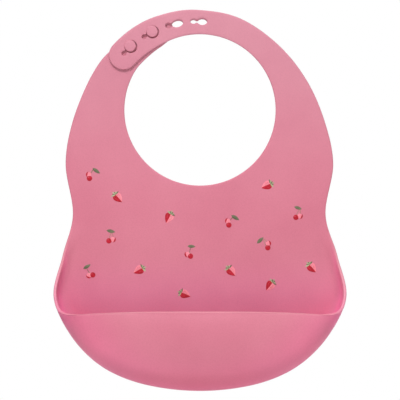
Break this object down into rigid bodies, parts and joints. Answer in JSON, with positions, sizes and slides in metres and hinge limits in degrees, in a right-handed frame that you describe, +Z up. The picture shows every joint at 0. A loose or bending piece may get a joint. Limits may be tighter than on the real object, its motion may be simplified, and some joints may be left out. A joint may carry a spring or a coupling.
{
  "type": "silicone baby bib",
  "caption": "Soft moulded baby bib with a stud-and-keyhole neck strap, printed fruit and a deep scoop pocket at the bottom.",
  "frame": {"origin": "centre of the neck opening, on the back face of the sheet", "axes": "+X to the viewer's right as the bib faces the viewer, +Z up towards the neck strap, and the front faces -Y"},
  "size_m": [0.228, 0.034, 0.2987],
  "materials": {
    "silicone": "satin",
    "cherry_ink": "matt",
    "berry_ink": "matt"
  },
  "bodies": {
    "upper_panel": {"upper_panel": "silicone", "cherry_print_upper": "cherry_ink", "berry_print_upper": "berry_ink"},
    "neck_band": {"shoulder_right": "silicone", "shoulder_left": "silicone"},
    "button_strap": {"button_strap": "silicone", "stud_lower": "silicone", "stud_upper": "silicone"},
    "strap_root": {"strap_root": "silicone"},
    "strap_middle": {"strap_middle": "silicone"},
    "strap_tab": {"strap_tab": "silicone"},
    "pocket": {"lower_panel": "silicone", "crumb_pocket": "silicone", "cherry_print_lower": "cherry_ink", "berry_print_lower": "berry_ink"}
  },
  "joints": [
    {"name": "neck_fold", "type": "hinge", "parent": "upper_panel", "child": "neck_band", "pos_m": [0, -0.001, 0.008], "axis": [-1, 0, 0], "range_deg": [0, 80], "stiffness_Nm_per_rad": 0.08},
    {"name": "button_strap_bend", "type": "hinge", "parent": "neck_band", "child": "button_strap", "pos_m": [-0.0634, -0.001, 0.02958], "axis": [-0.9063, 0, 0.4226], "range_deg": [0, 60], "stiffness_Nm_per_rad": 0.02},
    {"name": "strap_unfasten", "type": "hinge", "parent": "neck_band", "child": "strap_root", "pos_m": [0.0495, -0.00105, 0.0495], "axis": [0.7071, 0, 0.7071], "range_deg": [0, 35], "stiffness_Nm_per_rad": 0.03},
    {"name": "strap_middle_bend", "type": "hinge", "parent": "strap_root", "child": "strap_middle", "pos_m": [0.0169, -0.00173, 0.0679], "axis": [0.2419, 0, 0.9703], "range_deg": [0, 35], "stiffness_Nm_per_rad": 0.02},
    {"name": "strap_tab_bend", "type": "hinge", "parent": "strap_middle", "child": "strap_tab", "pos_m": [-0.0274, -0.00335, 0.0644], "axis": [-0.3907, 0, 0.9205], "range_deg": [0, 40], "stiffness_Nm_per_rad": 0.01},
    {"name": "waist_fold", "type": "hinge", "parent": "upper_panel", "child": "pocket", "pos_m": [0, -0.001, -0.0934], "axis": [-1, 0, 0], "range_deg": [-60, 100], "stiffness_Nm_per_rad": 0.05}
  ],
  "couplings": [
    {"joint": "strap_middle_bend", "follows": "strap_unfasten", "ratio": 1},
    {"joint": "strap_tab_bend", "follows": "strap_unfasten", "ratio": 1.1429}
  ]
}
